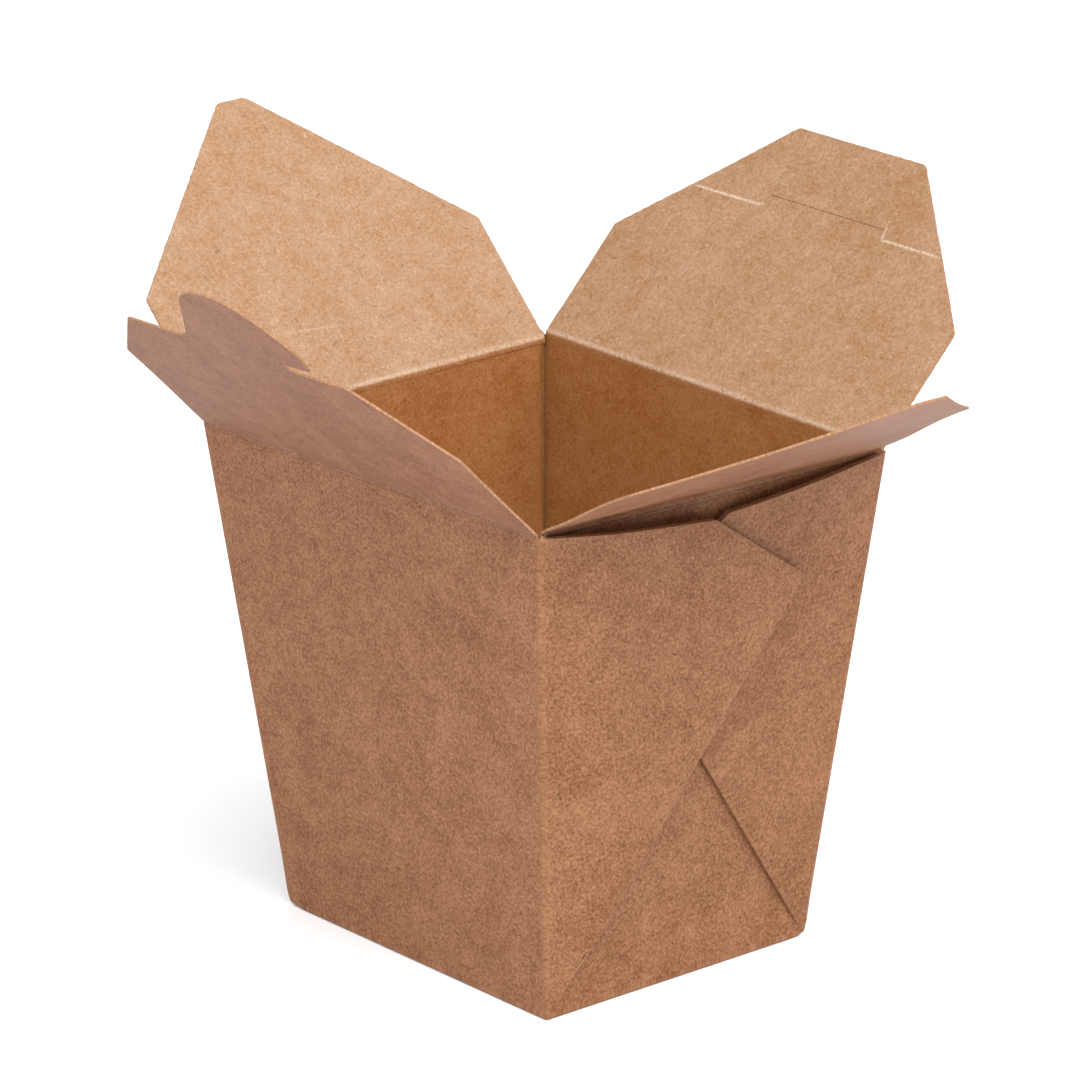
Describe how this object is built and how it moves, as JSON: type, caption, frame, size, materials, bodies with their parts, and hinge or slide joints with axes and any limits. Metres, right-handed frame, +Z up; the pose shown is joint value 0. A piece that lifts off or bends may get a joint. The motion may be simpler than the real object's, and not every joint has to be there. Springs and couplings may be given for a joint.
{
  "type": "noodle takeaway box",
  "caption": "Tapered folded kraft board takeaway box, standing open and empty, with corner webs folded flat outside, a hooked tab flap, a slotted flap and pointed dust flaps.",
  "frame": {"origin": "centre of the base's underside", "axes": "+Z up; the plain wall with the hooked tab flap faces -Y, the plain wall with the slotted flap faces +Y, and the walls with the folded webs and the dust flaps face +X and -X"},
  "size_m": [0.2014, 0.1716, 0.1473],
  "materials": {
    "kraft_body": "matte uncoated kraft board, pinkish brown outside and warmer tan inside",
    "kraft_flap": "matte uncoated kraft board, the same sheet as the body"
  },
  "bodies": {
    "box": {"box": "kraft_body"},
    "tab_flap": {"tab_flap": "kraft_flap"},
    "slot_flap": {"slot_flap": "kraft_flap"},
    "dust_flap_left": {"dust_flap_left": "kraft_flap"},
    "dust_flap_right": {"dust_flap_right": "kraft_flap"}
  },
  "joints": [
    {"name": "tab_flap_crease", "type": "hinge", "parent": "box", "child": "tab_flap", "pos_m": [0, -0.04288, 0.10002], "axis": [-0.9999, 0, -0.0139], "range_deg": [-90.4, 130.6]},
    {"name": "slot_flap_crease", "type": "hinge", "parent": "box", "child": "slot_flap", "pos_m": [0, 0.04288, 0.10002], "axis": [0.9999, 0, -0.0139], "range_deg": [-91.3, 133.1]},
    {"name": "dust_flap_left_crease", "type": "hinge", "parent": "box", "child": "dust_flap_left", "pos_m": [-0.04879, 0, 0.09911], "axis": [0, 0.9999, 0.0162], "range_deg": [-56, 134.9]},
    {"name": "dust_flap_right_crease", "type": "hinge", "parent": "box", "child": "dust_flap_right", "pos_m": [0.04879, 0, 0.09911], "axis": [0, -0.9999, 0.0162], "range_deg": [-38.5, 155]}
  ]
}
